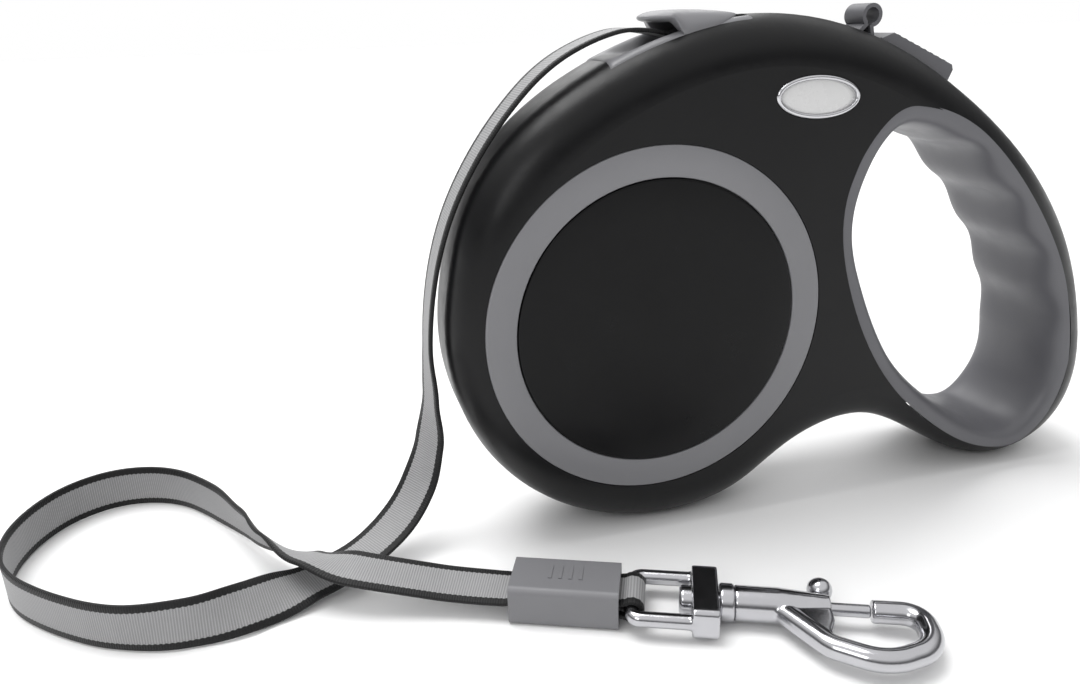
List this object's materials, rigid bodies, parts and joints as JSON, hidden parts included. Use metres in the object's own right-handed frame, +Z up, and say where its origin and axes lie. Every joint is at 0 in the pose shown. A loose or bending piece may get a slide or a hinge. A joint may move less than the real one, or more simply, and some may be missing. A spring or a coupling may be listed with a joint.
{
  "type": "retractable tape dog leash",
  "caption": "Hand-held casing with a sprung reel of flat woven tape, finger-grooved handle opening, thumb brake, bag loop and a swivelling bolt-snap hook",
  "frame": {"origin": "on the surface that the casing stands on, below the middle of the casing", "axes": "+X from the tape outlet towards the handle, +Z up, +Y to the side away from the badge"},
  "size_m": [0.3122, 0.1352, 0.1341],
  "materials": {
    "body": "soft-touch black plastic",
    "disc": "smooth black plastic",
    "trim": "satin grey plastic",
    "grip": "satin grey rubber",
    "badge": "glossy light plate",
    "bezel": "bright chrome",
    "steel": "steel",
    "chrome": "satin chrome",
    "tape": "woven tape, grey with black edges",
    "inner": "moulded plastic",
    "sleeve": "moulded grey rubber"
  },
  "bodies": {
    "casing": {"left_casing": "body", "right_casing": "body", "left_ring_trim": "trim", "right_ring_trim": "trim", "left_cover_disc": "disc", "right_cover_disc": "disc", "badge_bezel": "bezel", "badge_plate": "badge", "handle_grip": "grip", "tape_outlet": "trim", "guide_pins": "steel", "bag_loop": "grip", "casing_screws": "steel", "main_axle": "steel", "axle_washers": "steel", "power_spring": "steel", "tape_strand": "tape", "tape_feed": "tape", "tape_sleeve": "sleeve", "tape_end_loop": "tape", "button_spring": "steel", "pawl_pin": "steel"},
    "reel": {"reel_drum": "inner", "reel_flange": "inner", "spring_cover": "inner", "wound_tape": "tape"},
    "carrier": {"brake_carrier": "inner"},
    "button": {"brake_button": "grip"},
    "pawl": {"brake_pawl": "inner"},
    "swivel": {"swivel_frame": "chrome"},
    "hook": {"hook_body": "chrome", "swivel_stud": "chrome", "swivel_collar": "chrome", "bolt_spring": "steel"},
    "bolt": {"trigger_bolt": "chrome"}
  },
  "joints": [
    {"name": "reel_spin", "type": "hinge", "parent": "casing", "child": "reel", "pos_m": [-0.045, 0, 0.059], "axis": [0, 1, 0], "continuous": true},
    {"name": "brake_press", "type": "slide", "parent": "casing", "child": "carrier", "axis": [-0.4147, 0, -0.91], "range_m": [0, 0.003], "deforming": ["button_spring"]},
    {"name": "lock_slide", "type": "slide", "parent": "carrier", "child": "button", "axis": [0.91, 0, -0.4147], "range_m": [0, 0.002]},
    {"name": "pawl_swing", "type": "hinge", "parent": "casing", "child": "pawl", "pos_m": [-0.024, 0.0083, 0.111], "axis": [0, 1, 0], "range_deg": [0, 3.4]},
    {"name": "swivel_fold", "type": "hinge", "parent": "casing", "child": "swivel", "pos_m": [-0.0648, -0.0493, 0.005], "axis": [-0.4067, -0.9135, 0], "range_deg": [0, 100]},
    {"name": "hook_spin", "type": "hinge", "parent": "swivel", "child": "hook", "pos_m": [-0.0648, -0.0493, 0.005], "axis": [0.9135, -0.4067, 0], "continuous": true},
    {"name": "bolt_slide", "type": "slide", "parent": "hook", "child": "bolt", "axis": [-0.9135, 0.4067, 0], "range_m": [0, 0.0075], "deforming": ["bolt_spring"]}
  ],
  "couplings": [
    {"joint": "pawl_swing", "follows": "brake_press", "rad_per_m": 19.5}
  ]
}
